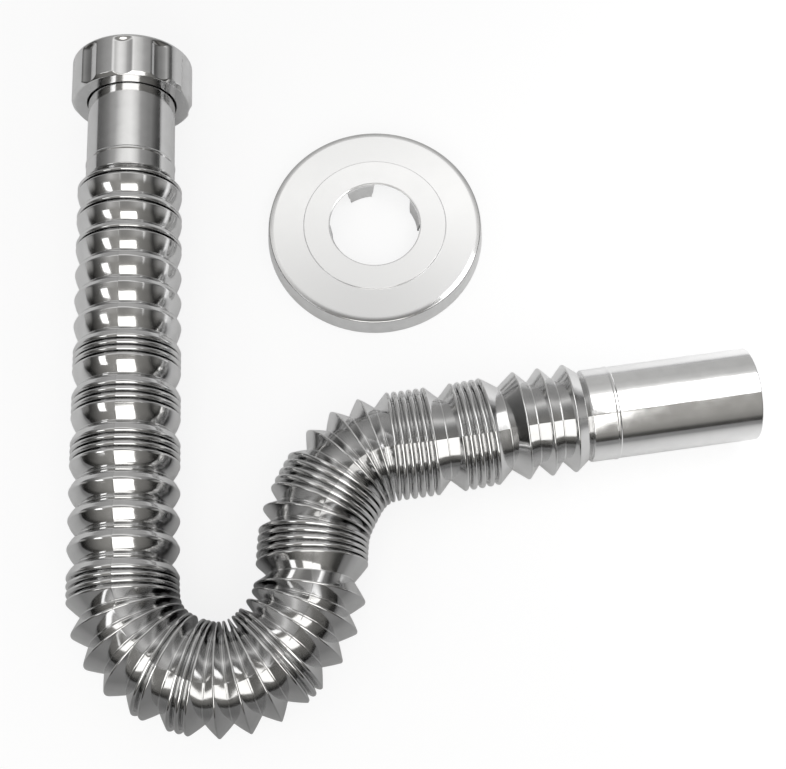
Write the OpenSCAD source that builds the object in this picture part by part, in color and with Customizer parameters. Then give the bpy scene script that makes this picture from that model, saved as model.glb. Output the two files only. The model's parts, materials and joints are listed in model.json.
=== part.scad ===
// Flexible bellows trap for a basin waste, lying flat, with its loose wall plate.
// Millimetres, +Z up. The plane z = 0 is the surface that it lies on.
// The inlet leg runs along Y, with its nut at the +Y end, and the outlet leaves towards +X.

/* [Pipe ends] */
// Outside diameter of the smooth pipe ends
pipe_d = 40; // [32:0.5:50]
// Wall thickness of the smooth pipe ends
pipe_wall = 1.2; // [0.8:0.1:2.5]
// Length of the inlet pipe from the hose to its open end
inlet_len = 51.5; // [44:0.5:90]
// Length of the outlet pipe from the hose to its open end
outlet_len = 73; // [40:1:200]
// Length of the raised band beside the hose on the inlet pipe
inlet_band = 8.7; // [4:0.1:12]
// Length of the raised band beside the hose on the outlet pipe
outlet_band = 11.4; // [4:0.1:20]
// Height of the raised bands over the pipe
band_rise = 0.35; // [0.2:0.05:0.5]

/* [Bellows] */
// Height of the fold crests over the pipe's outside
crest_rise = 3.5; // [2.5:0.1:6]
// Depth of the fold roots under the pipe's outside
root_drop = 1.8; // [1.4:0.1:2.5]
// Wall thickness of the folds
fold_wall = 0.9; // [0.6:0.05:1.2]
// Distance of two crests with the fold fully open
open_pitch = 12.2; // [10:0.1:15]
// Distance of two crests of the half stretched folds near the inlet
slack_pitch = 11.2; // [9:0.1:14]
// Distance of two crests with the fold shut
shut_len = 3.0; // [2.6:0.1:4]
// Depth of the grooves between shut folds
groove_depth = 1.6; // [1:0.1:2.4]
// Depth of the roots of the half stretched folds near the inlet
slack_depth = 2.2; // [1.6:0.1:3]
// Depth of the roots of the single open folds between the leg's stacks
single_depth = 3.2; // [2:0.1:4]
// Depth of the roots of the open folds low in the leg
leg_depth = 4.1; // [3:0.1:4.4]
// Length of the neck between a pipe and the nearest crest
neck_len = 4.4; // [3:0.1:8]

/* [Union nut] */
// Thickness of the nut's wall from its thread to its grips
nut_wall = 5.4; // [4.6:0.1:9]
// Length of the nut
nut_len = 21.5; // [18:0.5:35]
// Number of grips round the nut
nut_grips = 10; // [6:2:14]
// Depth of the flutes between the grips
flute_depth = 1.2; // [0.6:0.1:1.6]
// Thickness of the nut's end wall that pulls on the washer
nut_shoulder = 3; // [2:0.1:4]
// Distance of the nut's thread crests from the pipe, all round
thread_gap = 2.4; // [2:0.1:6]
// Length of the nut's inside thread
thread_len = 10.5; // [8:0.5:16]
// Length of the sealing washer
seal_len = 6.5; // [4:0.1:8]

/* [Wall plate] */
// Outside diameter of the wall plate at its rim
plate_d = 100.8; // [90:0.2:140]
// Height of the wall plate
plate_h = 11.4; // [9:0.1:20]
// Sheet thickness of the wall plate
plate_wall = 0.9; // [0.6:0.1:1.5]
// Diameter of the raised step round the hole
step_d = 66; // [56:0.5:80]
// Clearance of the plate's hole over the pipe, all round
hole_gap = 1.0; // [0.8:0.1:2]
// Angle that one spring tab covers
tab_angle = 38; // [20:1:60]
// Distance of the plate's centre from the leg's axis
plate_x = 111.3; // [100:0.5:180]
// Distance of the plate's centre from the first crest, towards the inlet
plate_y = -12.3; // [-14:0.5:60]

/* [Hidden] */
pipe_r = pipe_d / 2;
bore_r = pipe_r - pipe_wall;
crest_r = pipe_r + crest_rise;
root_r = pipe_r - root_drop;
root_in = root_r - fold_wall;
crest_in = crest_r - 1.8 * fold_wall;
sides = 14;
half_side = 180 / sides;
// The hose lies on the lowest facets of its folds.
hose_z = crest_r * cos(half_side);
thread_r = pipe_r + thread_gap;
nut_r = thread_r + nut_wall;
flute_r = nut_r - flute_depth;
// The nut lies on two grips, with a flute lowest.
grip_half = 90 / nut_grips;
pipe_z = nut_r * cos(grip_half);
seat_r = thread_r - 0.5;
seal_in = pipe_r + 0.05;
seal_out = seat_r - 0.3;

// The hose as runs of folds, in order from the inlet. Each run is
// [number of folds, crest distance on the tight side, turn of one fold in degrees,
//  share of the drop from the nut's level to the hose's level, depth of the roots,
//  place of a root between its two crests].
pair = 0.87 * shut_len;
snug = 0.67 * shut_len;
full = crest_rise + root_drop;
runs = [
    [1, pair, 0, 0, groove_depth, 0.5],
    [1, slack_pitch, 0, 1, slack_depth, 0.62],
    [1, pair, 0, 0, groove_depth, 0.5],
    [1, slack_pitch, 0, 1, slack_depth, 0.62],
    [1, pair, 0, 0, groove_depth, 0.5],
    [4, open_pitch, 0, 1, slack_depth, 0.6],
    [3, shut_len, 0, 0, groove_depth, 0.5],
    [1, open_pitch, 0, 1, single_depth, 0.58],
    [3, shut_len, 0, 0, groove_depth, 0.5],
    [1, open_pitch, 0, 1, single_depth, 0.58],
    [3, shut_len, 0, 0, groove_depth, 0.5],
    [4, open_pitch, 0, 1, leg_depth, 0.54],
    [3, 0.83 * shut_len, 1.2, 0, groove_depth, 0.5],
    [4, 0.87 * shut_len, 13.8, 0, full, 0.5],
    [1, snug, 2.4, 0, groove_depth, 0.5],
    [1, 1.37 * shut_len, 9.8, 0, full, 0.5],
    [2, snug, 2.4, 0, groove_depth, 0.5],
    [4, 0.63 * shut_len, 13.7, 0, full, 0.5],
    [2, snug, 2.4, 0, groove_depth, 0.5],
    [2, 1.57 * shut_len, 10.6, 0, full, 0.5],
    [1, 0.76 * shut_len, 13, 0, full, 0.5],
    [1, 3.1 * shut_len, 8.2, 0, full, 0.5],
    [4, 0.8 * shut_len, -1.45, 0, groove_depth, 0.5],
    [2, 0.83 * shut_len, -8.85, 0, full, 0.5],
    [4, 0.9 * shut_len, -1.45, 0, groove_depth, 0.5],
    [4, 0.7 * shut_len, -13.4, 0, full, 0.5],
    [5, 1.06 * shut_len, 0.4, 0, groove_depth, 0.5],
    [1, 0.95 * open_pitch, 0, 0, full, 0.5],
    [4, 1.05 * shut_len, 0.7, 0, groove_depth, 0.5],
    [1, 1.08 * open_pitch, -2.4, 0, full, 0.5],
    [2, 0.85 * open_pitch, -0.75, 0, full, 0.5]
];
// One entry for each fold:
// [distance along the axis, turn, share of the drop, fold is open, depth of its root, place of it].
folds = [
    for (r = runs)
        for (i = [1:r[0]])
            [
                r[1] + crest_r * abs(r[2]) * PI / 180,
                r[2],
                r[3],
                r[1] + crest_r * abs(r[2]) * PI / 90 > 2 * shut_len,
                r[4],
                r[5]
            ]
];
count = len(folds);
drops = [for (f = folds) f[2]] * [for (f = folds) 1];
drop = (pipe_z - hose_z) / drops;
function ahead(p, f) = [
    p[0] + f[0] * cos(p[3] + f[1] / 2),
    p[1] + f[0] * sin(p[3] + f[1] / 2),
    p[2] - f[2] * drop,
    p[3] + f[1]
];
// Every crest as [x, y, z, heading], from the first crest at the leg's origin.
crests = [
    for (i = 0, p = [0, 0, pipe_z, -90]; i <= count; p = ahead(p, folds[min(i, count - 1)]), i = i + 1)
        p
];
last = crests[count];
first_root = [0, neck_len, pipe_z, -90];
last_root = [
    last[0] + neck_len * 1.6 * cos(last[3]),
    last[1] + neck_len * 1.6 * sin(last[3]),
    last[2],
    last[3]
];
// Roots and crests in turn: an even station is a root, an odd one a crest.
stations = [
    for (s = [0:2 * count + 2])
        s == 0 ? first_root :
        s == 2 * count + 2 ? last_root :
        s % 2 == 1 ? crests[(s - 1) / 2] :
        crests[s / 2 - 1] * (1 - folds[s / 2 - 1][5]) + crests[s / 2] * folds[s / 2 - 1][5]
];
function folds_before(r) = r == 0 ? 0 : runs[r - 1][0] + folds_before(r - 1);
// Station of the crest at which run r begins.
function at(r) = 2 * folds_before(r) + 1;
function open_fold(i) = i < 0 || i >= count ? true : folds[i][3];
// A shut fold's walls touch, so the bore runs plain behind it.
function plain(s) = s % 2 == 1 ?
    !open_fold((s - 3) / 2) || !open_fold((s - 1) / 2) :
    !open_fold(s / 2 - 1);
function outer_r(s) = s % 2 == 1 ? crest_r :
    s == 0 || s == 2 * count + 2 ? root_r :
    crest_r - folds[s / 2 - 1][4];
function inner_r(s) = plain(s) ? root_in :
    s % 2 == 1 ? crest_in :
    outer_r(s) - fold_wall;

// The box of the whole lying set, to centre it over the origin.
nut_end = neck_len + inlet_len - nut_shoulder - seal_len + nut_len - 0.3;
out_end = [
    last_root[0] + outlet_len * cos(last[3]),
    last_root[1] + outlet_len * sin(last[3])
];
low_x = -nut_r;
high_x = out_end[0] + pipe_r * abs(sin(last[3]));
high_y = nut_end;
low_y = min([for (c = crests) c[1] - crest_r * abs(cos(c[3]))]);
home = [-(low_x + high_x) / 2, -(low_y + high_y) / 2, 0];

function ring_points(p, r) = [
    for (j = [0:sides - 1])
        let (t = -90 + (j + 0.5) * 2 * half_side)
            [
                p[0] - r * cos(t) * sin(p[3]),
                p[1] + r * cos(t) * cos(p[3]),
                p[2] + r * sin(t)
            ]
];
// Quads between ring k and ring k + 1 of a skin whose first point is number b.
function skin(n, b, out) = [
    for (k = [0:n - 2])
        for (j = [0:sides - 1])
            let (a = b + k * sides + j)
                let (c = b + k * sides + (j + 1) % sides)
                    for (f = out ?
                        [[a, a + sides, c + sides], [a, c + sides, c]] :
                        [[a, c + sides, a + sides], [a, c, c + sides]])
                        f
];
// Flat ring between the first points o of the outer skin and i of the inner one.
function lid(o, i, start) = [
    for (j = [0:sides - 1])
        let (k = (j + 1) % sides)
            for (f = start ?
                [[o + j, o + k, i + k], [o + j, i + k, i + j]] :
                [[o + j, i + k, o + k], [o + j, i + j, i + k]])
                f
];
// A length of folded hose from station a to station b, with its bore.
module hose(a, b) {
    kept = [for (s = [a:b]) if (s == a || s == b || !plain(s) || s % 2 == 1) s];
    shut_run = len([for (s = [a:b]) if (s % 2 == 0 && !plain(s)) 1]) == 0;
    outer = [for (s = [a:b]) for (q = ring_points(stations[s], outer_r(s))) q];
    inner = [for (s = kept) for (q = ring_points(stations[s], shut_run ? root_in : inner_r(s))) q];
    n = b - a + 1;
    m = len(kept);
    base = n * sides;
    polyhedron(
        points = concat(outer, inner),
        faces = concat(
            skin(n, 0, true),
            skin(m, base, false),
            lid(0, base, true),
            lid((n - 1) * sides, base + (m - 1) * sides, false)
        )
    );
}
module along_leg(y) {
    translate([0, y, pipe_z])
        rotate([-90, 0, 0])
            children();
}
module chrome() {
    color([0.80, 0.81, 0.82])
        translate(home)
            children();
}
// A smooth pipe end along +Z: raised band, plain length, and an end wall that meets the hose.
module pipe_end(length, band) {
    rotate_extrude($fn = 96)
        polygon([
            [root_in, 0],
            [pipe_r + band_rise, 0],
            [pipe_r + band_rise, band - 0.4],
            [pipe_r, band],
            [pipe_r, length - 0.5],
            [pipe_r - 0.4, length],
            [bore_r, length],
            [bore_r, pipe_wall + 1],
            [root_in, pipe_wall]
        ]);
}

module union_nut() {
    // The flutes are arcs that leave a grip and a flute of the same width.
    th = 90 / nut_grips;
    arc_r = (nut_r * nut_r + flute_r * flute_r - 2 * nut_r * flute_r * cos(th))
        / (2 * (nut_r * cos(th) - flute_r));
    chrome()
        along_leg(nut_end - nut_len)
            difference() {
                intersection() {
                    linear_extrude(height = nut_len)
                        difference() {
                            circle(r = nut_r, $fn = 120);
                            for (i = [0:nut_grips - 1])
                                rotate(90 + i * 360 / nut_grips)
                                    translate([flute_r + arc_r, 0])
                                        circle(r = arc_r, $fn = 90);
                        }
                    rotate_extrude($fn = 120)
                        polygon([
                            [0, 0],
                            [nut_r - 2.6, 0],
                            [nut_r, 2.2],
                            [nut_r, nut_len - 0.8],
                            [nut_r - 0.8, nut_len],
                            [0, nut_len]
                        ]);
                }
                translate([0, 0, nut_shoulder])
                    cylinder(h = nut_len, r = seat_r, $fn = 96);
                translate([0, 0, nut_len - thread_len])
                    cylinder(h = nut_len, r = thread_r, $fn = 96);
                translate([0, 0, -1])
                    cylinder(h = nut_len, r = pipe_r + 0.6, $fn = 96);
            }
}
module seal_washer() {
    color([0.12, 0.12, 0.13])
        translate(home)
            along_leg(nut_end - nut_len + nut_shoulder)
                rotate_extrude($fn = 96)
                    polygon([
                        [seal_in, 0],
                        [seal_out, 0],
                        [seal_out, seal_len * 0.35],
                        [seal_in + 0.7, seal_len],
                        [seal_in, seal_len]
                    ]);
}
module inlet_tube() {
    chrome()
        along_leg(neck_len)
            pipe_end(inlet_len, inlet_band);
}
module outlet_tube() {
    chrome()
        translate([last_root[0], last_root[1], last_root[2]])
            rotate([0, 0, last[3]])
                rotate([0, 90, 0])
                    pipe_end(outlet_len, outlet_band);
}
module wall_plate() {
    plate_r = plate_d / 2;
    hole_r = pipe_r + hole_gap;
    step_r = step_d / 2;
    w = plate_wall;
    top = plate_h;
    grip_r = pipe_r - 0.1;
    chrome()
        translate([plate_x, plate_y, 0]) {
            rotate_extrude($fn = 120)
                polygon([
                    [hole_r, top],
                    [hole_r, top - w],
                    [step_r - 0.4, top - 0.2 - w],
                    [step_r + 0.2, top - 0.7 - w],
                    [plate_r - 3.5, top - 1.2 - w],
                    [plate_r - 2.2, top - 2 - w],
                    [plate_r - 0.6 - w, top - 4.6],
                    [plate_r - w, 0],
                    [plate_r, 0],
                    [plate_r - 0.6, top - 4.2],
                    [plate_r - 1.5, top - 2.2],
                    [plate_r - 3, top - 1.2],
                    [step_r + 0.4, top - 0.7],
                    [step_r - 0.2, top - 0.2]
                ]);
            for (i = [0:3])
                rotate([0, 0, 107 + i * 90 - tab_angle / 2])
                    rotate_extrude(angle = tab_angle, $fn = 96)
                        polygon([
                            [hole_r - 0.3, top - 0.3],
                            [hole_r + 0.9, top - 0.3],
                            [hole_r + 0.9, top - 1.8],
                            [grip_r + 0.8, 3.6],
                            [grip_r + 0.8, 1],
                            [grip_r, 1],
                            [grip_r, 3.8],
                            [hole_r - 0.3, top - 1.7]
                        ]);
        }
}
module leg_bellows_1() {
    chrome() hose(0, at(6));
}
module leg_stack_1() {
    chrome() hose(at(6), at(7));
}
module leg_bellows_2() {
    chrome() hose(at(7), at(8));
}
module leg_stack_2() {
    chrome() hose(at(8), at(9));
}
module leg_bellows_3() {
    chrome() hose(at(9), at(10));
}
module leg_stack_3() {
    chrome() hose(at(10), at(11));
}
module leg_bellows_4() {
    chrome() hose(at(11), at(12));
}
module leg_stack_4() {
    chrome() hose(at(12), at(13));
}
module bend_bellows_1() {
    chrome() hose(at(13), at(13) + 3);
}
module bend_fold_1() {
    chrome() hose(at(13) + 3, at(13) + 5);
}
module bend_bellows_2() {
    chrome() hose(at(13) + 5, at(14));
}
module bend_stack_1() {
    chrome() hose(at(14), at(15));
}
module bend_bellows_3() {
    chrome() hose(at(15), at(16));
}
module bend_stack_2() {
    chrome() hose(at(16), at(17));
}
module bend_bellows_4() {
    chrome() hose(at(17), at(17) + 3);
}
module bend_fold_2() {
    chrome() hose(at(17) + 3, at(17) + 5);
}
module bend_bellows_5() {
    chrome() hose(at(17) + 5, at(18));
}
module bend_stack_3() {
    chrome() hose(at(18), at(19));
}
module bend_bellows_6() {
    chrome() hose(at(19), at(19) + 3);
}
module bend_fold_3() {
    chrome() hose(at(19) + 3, at(19) + 5);
}
module bend_bellows_7() {
    chrome() hose(at(19) + 5, at(22));
}
module elbow_stack_1() {
    chrome() hose(at(22), at(23));
}
module elbow_bellows_1() {
    chrome() hose(at(23), at(24));
}
module elbow_stack_2() {
    chrome() hose(at(24), at(25));
}
module elbow_bellows_2() {
    chrome() hose(at(25), at(25) + 3);
}
module elbow_fold() {
    chrome() hose(at(25) + 3, at(25) + 5);
}
module elbow_bellows_3() {
    chrome() hose(at(25) + 5, at(26));
}
module outlet_stack_1() {
    chrome() hose(at(26), at(27));
}
module outlet_bellows_1() {
    chrome() hose(at(27), at(28));
}
module outlet_stack_2() {
    chrome() hose(at(28), at(29));
}
module outlet_bellows_2() {
    chrome() hose(at(29), 2 * count + 2);
}

union_nut();
seal_washer();
inlet_tube();
leg_bellows_1();
leg_stack_1();
leg_bellows_2();
leg_stack_2();
leg_bellows_3();
leg_stack_3();
leg_bellows_4();
leg_stack_4();
bend_bellows_1();
bend_fold_1();
bend_bellows_2();
bend_stack_1();
bend_bellows_3();
bend_stack_2();
bend_bellows_4();
bend_fold_2();
bend_bellows_5();
bend_stack_3();
bend_bellows_6();
bend_fold_3();
bend_bellows_7();
elbow_stack_1();
elbow_bellows_1();
elbow_stack_2();
elbow_bellows_2();
elbow_fold();
elbow_bellows_3();
outlet_stack_1();
outlet_bellows_1();
outlet_stack_2();
outlet_bellows_2();
outlet_tube();
wall_plate();
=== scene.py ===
"""Looks of a flexible bellows trap: chromed hose, pipe ends, slip nut, washer and loose wall plate.

Lengths are in millimetres while shapes are worked out, and in metres in the finished meshes.
The hose lies flat. Its inlet leg runs along Y with the nut at +Y, and its outlet leaves towards +X.
"""

import dataclasses
import json
import logging
import math
from dataclasses import dataclass, field
from enum import Enum

import bpy
import numpy as np
from bpy.types import Material, Node, NodeSocket, Object
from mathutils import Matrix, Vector

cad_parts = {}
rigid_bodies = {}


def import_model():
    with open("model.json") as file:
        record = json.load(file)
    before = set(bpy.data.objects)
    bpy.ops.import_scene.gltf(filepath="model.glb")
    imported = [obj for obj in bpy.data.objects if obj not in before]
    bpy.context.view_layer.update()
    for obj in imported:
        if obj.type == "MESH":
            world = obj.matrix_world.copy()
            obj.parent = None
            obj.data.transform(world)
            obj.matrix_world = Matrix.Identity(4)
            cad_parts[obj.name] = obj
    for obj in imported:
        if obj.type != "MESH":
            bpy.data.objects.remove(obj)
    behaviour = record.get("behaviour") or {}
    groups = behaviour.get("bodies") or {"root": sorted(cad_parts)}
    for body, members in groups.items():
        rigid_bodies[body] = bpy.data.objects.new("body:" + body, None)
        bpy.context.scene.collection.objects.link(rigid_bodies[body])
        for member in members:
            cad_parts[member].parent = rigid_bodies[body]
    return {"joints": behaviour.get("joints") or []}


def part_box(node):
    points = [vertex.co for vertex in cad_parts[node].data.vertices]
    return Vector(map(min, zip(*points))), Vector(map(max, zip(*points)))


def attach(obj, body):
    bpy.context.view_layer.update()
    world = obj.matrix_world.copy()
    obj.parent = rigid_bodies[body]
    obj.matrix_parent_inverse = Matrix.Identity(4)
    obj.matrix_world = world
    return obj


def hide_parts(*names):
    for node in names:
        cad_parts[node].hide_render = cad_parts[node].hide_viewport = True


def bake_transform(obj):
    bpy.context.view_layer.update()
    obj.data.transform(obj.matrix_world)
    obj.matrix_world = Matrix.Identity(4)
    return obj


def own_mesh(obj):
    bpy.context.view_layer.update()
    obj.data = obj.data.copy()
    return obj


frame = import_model()
log = logging.getLogger("bellows_trap")
MM = 0.001
Colour = tuple[float, float, float]
Span = tuple[float, float]
Stops = tuple[tuple[float, float], ...]


# ---------------------------------------------------------------- shapes as arrays


def grid_quads(
    rows: int, cols: int, wrap_rows: bool, wrap_cols: bool, first: int = 0
) -> np.ndarray:
    """Quads of a grid whose point (i, j) has number first + i * cols + j.

    Args:
        rows: Number of rows.
        cols: Number of columns.
        wrap_rows: The last row joins the first one.
        wrap_cols: The last column joins the first one.
        first: Number of the grid's first point.

    Returns:
        Array (n, 4) of point numbers.
    """
    i = np.arange(rows if wrap_rows else rows - 1)[:, None]
    j = np.arange(cols if wrap_cols else cols - 1)[None, :]
    i2, j2 = (i + 1) % rows, (j + 1) % cols
    quads = np.stack([i * cols + j, i * cols + j2, i2 * cols + j2, i2 * cols + j], -1)
    return quads.reshape(-1, 4) + first


def grid_normals(points: np.ndarray, wrap_rows: bool, wrap_cols: bool) -> np.ndarray:
    """Unit normals of a grid: the column step crossed with the row step, by central differences.

    Args:
        points: Array (rows, cols, 3).
        wrap_rows: The last row joins the first one.
        wrap_cols: The last column joins the first one.

    Returns:
        Array (rows, cols, 3).
    """
    down = np.roll(points, -1, 0) - np.roll(points, 1, 0)
    if not wrap_rows:
        down[0], down[-1] = points[1] - points[0], points[-1] - points[-2]
    over = np.roll(points, -1, 1) - np.roll(points, 1, 1)
    if not wrap_cols:
        over[:, 0], over[:, -1] = points[:, 1] - points[:, 0], points[:, -1] - points[:, -2]
    n = np.cross(over, down)
    return n / np.maximum(np.linalg.norm(n, axis=-1, keepdims=True), 1e-12)


def rounded_outline(corners: np.ndarray, steps: int = 5) -> tuple[np.ndarray, np.ndarray]:
    """A closed outline whose corners are arcs, each tangent to its two edges.

    The arc's centre lies on the corner's bisector, at radius / (1 + n0.n1) times the sum of the
    two edge normals; its points follow the normal as it turns from n0 to n1.

    Args:
        corners: Array (n, 3) of x, y and corner radius, in order either way round.
        steps: Pieces in each arc.

    Returns:
        The points and their outward normals, both (n * (steps + 1), 2).
    """
    after = np.roll(corners, -1, 0)
    if (corners[:, 0] * after[:, 1] - after[:, 0] * corners[:, 1]).sum() < 0:
        corners = corners[::-1]
    c, r = corners[:, :2], corners[:, 2:3]
    edge = np.roll(c, -1, 0) - c
    edge /= np.linalg.norm(edge, axis=1, keepdims=True)
    n1 = np.stack([edge[:, 1], -edge[:, 0]], 1)
    n0 = np.roll(n1, 1, 0)
    turn = np.arctan2(n0[:, 0] * n1[:, 1] - n0[:, 1] * n1[:, 0], (n0 * n1).sum(1))
    side = np.where(turn >= 0, 1.0, -1.0)[:, None]
    centre = c - side * (n0 + n1) * r / (1 + (n0 * n1).sum(1, keepdims=True))
    share = np.linspace(0, 1, steps + 1)
    angle = np.arctan2(n0[:, 1], n0[:, 0])[:, None] + turn[:, None] * share
    normal = np.stack([np.cos(angle), np.sin(angle)], -1)
    points = centre[:, None] + side[:, None] * r[:, None] * normal
    return points.reshape(-1, 2), normal.reshape(-1, 2)


def thicken_rows(points: np.ndarray, step: float) -> np.ndarray:
    """Adds rows to a closed outline so that no edge is longer than step, by straight interpolation.

    Args:
        points: Array (n, 2).
        step: The longest edge wanted.

    Returns:
        Array (m, 2), m at least n.
    """
    after = np.roll(points, -1, 0)
    count = np.maximum(1, np.ceil(np.linalg.norm(after - points, axis=1) / step).astype(int))
    start = np.repeat(np.arange(len(points)), count)
    place = np.arange(len(start)) - np.repeat(np.cumsum(count) - count, count)
    share = (place / count[start])[:, None]
    return points[start] * (1 - share) + after[start] * share


@dataclass
class Axis:
    """A straight axis in the model: where it starts, and its three directions."""

    origin: np.ndarray
    ahead: np.ndarray
    left: np.ndarray
    up: np.ndarray

    def spin(self, along: np.ndarray, radius: np.ndarray, angle: np.ndarray) -> np.ndarray:
        """Points in cylinder coordinates: along the axis, plus radius times a turned unit vector.

        Args:
            along: Distances along the axis.
            radius: Distances from it, of the same shape.
            angle: Angles round it, from left towards up.

        Returns:
            The same shape with x, y and z last.
        """
        c, s = np.cos(angle)[..., None], np.sin(angle)[..., None]
        ring = self.left * c + self.up * s
        return self.origin + self.ahead * along[..., None] + ring * radius[..., None]

    def moved(self, origin: np.ndarray) -> "Axis":
        """The same axis from another start."""
        return dataclasses.replace(self, origin=origin)


@dataclass
class Shell:
    """A closed skin as arrays: points in millimetres, unit normals, and quads facing outwards."""

    points: np.ndarray
    normals: np.ndarray
    quads: np.ndarray

    @staticmethod
    def closed(points: np.ndarray, normals: np.ndarray, quads: np.ndarray) -> "Shell":
        """A shell turned outwards: its volume, a sum of corner products, has to be positive.

        Args:
            points: Its points, as a grid or a list.
            normals: Their normals.
            quads: Its faces, all outwards or all inwards.

        Returns:
            The shell.
        """
        points, normals = points.reshape(-1, 3), normals.reshape(-1, 3)
        a, b, c, d = (points[quads[:, k]] - points.mean(0) for k in range(4))
        volume = (np.cross(b - a, c - a) * a).sum() + (np.cross(c - a, d - a) * a).sum()
        quads = quads if volume > 0 else quads[:, ::-1]
        return Shell(points, normals, np.ascontiguousarray(quads))

    def plus(self, other: "Shell") -> "Shell":
        """This shell and another one in one piece.

        Args:
            other: The other shell.

        Returns:
            The shell of both.
        """
        return Shell(
            np.vstack([self.points, other.points]),
            np.vstack([self.normals, other.normals]),
            np.vstack([self.quads, other.quads + len(self.points)]),
        )


def lathe(axis: Axis, corners: np.ndarray, around: int, steps: int = 5) -> Shell:
    """A closed ring: the rounded outline of (along, radius) corners turned about the axis.

    Args:
        axis: The axis to turn about.
        corners: Array (n, 3) of along, radius and corner radius, in order.
        around: Columns round the axis.
        steps: Pieces in each corner's arc.

    Returns:
        The ring's shell with exact normals.
    """
    p, n = rounded_outline(corners, steps)
    t = np.linspace(0, 2 * np.pi, around, endpoint=False)[None, :]
    angle = t + 0 * p[:, :1]
    grid = axis.spin(p[:, :1] + 0 * t, p[:, 1:] + 0 * t, angle)
    normal = axis.moved(np.zeros(3)).spin(n[:, :1] + 0 * t, n[:, 1:] + 0 * t, angle)
    return Shell.closed(grid, normal, grid_quads(len(p), around, True, True))


def put_piece(
    node: str, shell: Shell, finish: Material, body: str = ""
) -> Object:
    """Puts a shell into the scene in place of its CAD node, as a smooth mesh with its own normals.

    Args:
        node: The CAD node's name. The piece is called after it.
        shell: Its skin, in millimetres.
        finish: Its material.
        body: The body that it rides on, or nothing if it is tied otherwise.

    Returns:
        The new object, at the origin.
    """
    mesh = bpy.data.meshes.new(node + "_skin")
    quads = shell.quads.astype(np.int32)
    mesh.vertices.add(len(shell.points))
    mesh.vertices.foreach_set("co", (shell.points * MM).astype(np.float32).ravel())
    mesh.loops.add(quads.size)
    mesh.loops.foreach_set("vertex_index", quads.ravel())
    mesh.polygons.add(len(quads))
    mesh.polygons.foreach_set("loop_start", np.arange(0, quads.size, 4, dtype=np.int32))
    mesh.polygons.foreach_set("loop_total", np.full(len(quads), 4, np.int32))
    mesh.update(calc_edges=True)
    mesh.polygons.foreach_set("use_smooth", np.ones(len(quads), bool))
    mesh.normals_split_custom_set_from_vertices(shell.normals.astype(np.float32))
    mesh.materials.append(finish)
    piece = bpy.data.objects.new(mesh.name, mesh)
    bpy.context.scene.collection.objects.link(piece)
    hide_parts(node)
    if body:
        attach(piece, body)
    log.info("%s: %d points", node, len(shell.points))
    return piece


# ---------------------------------------------------------------- finishes


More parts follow.
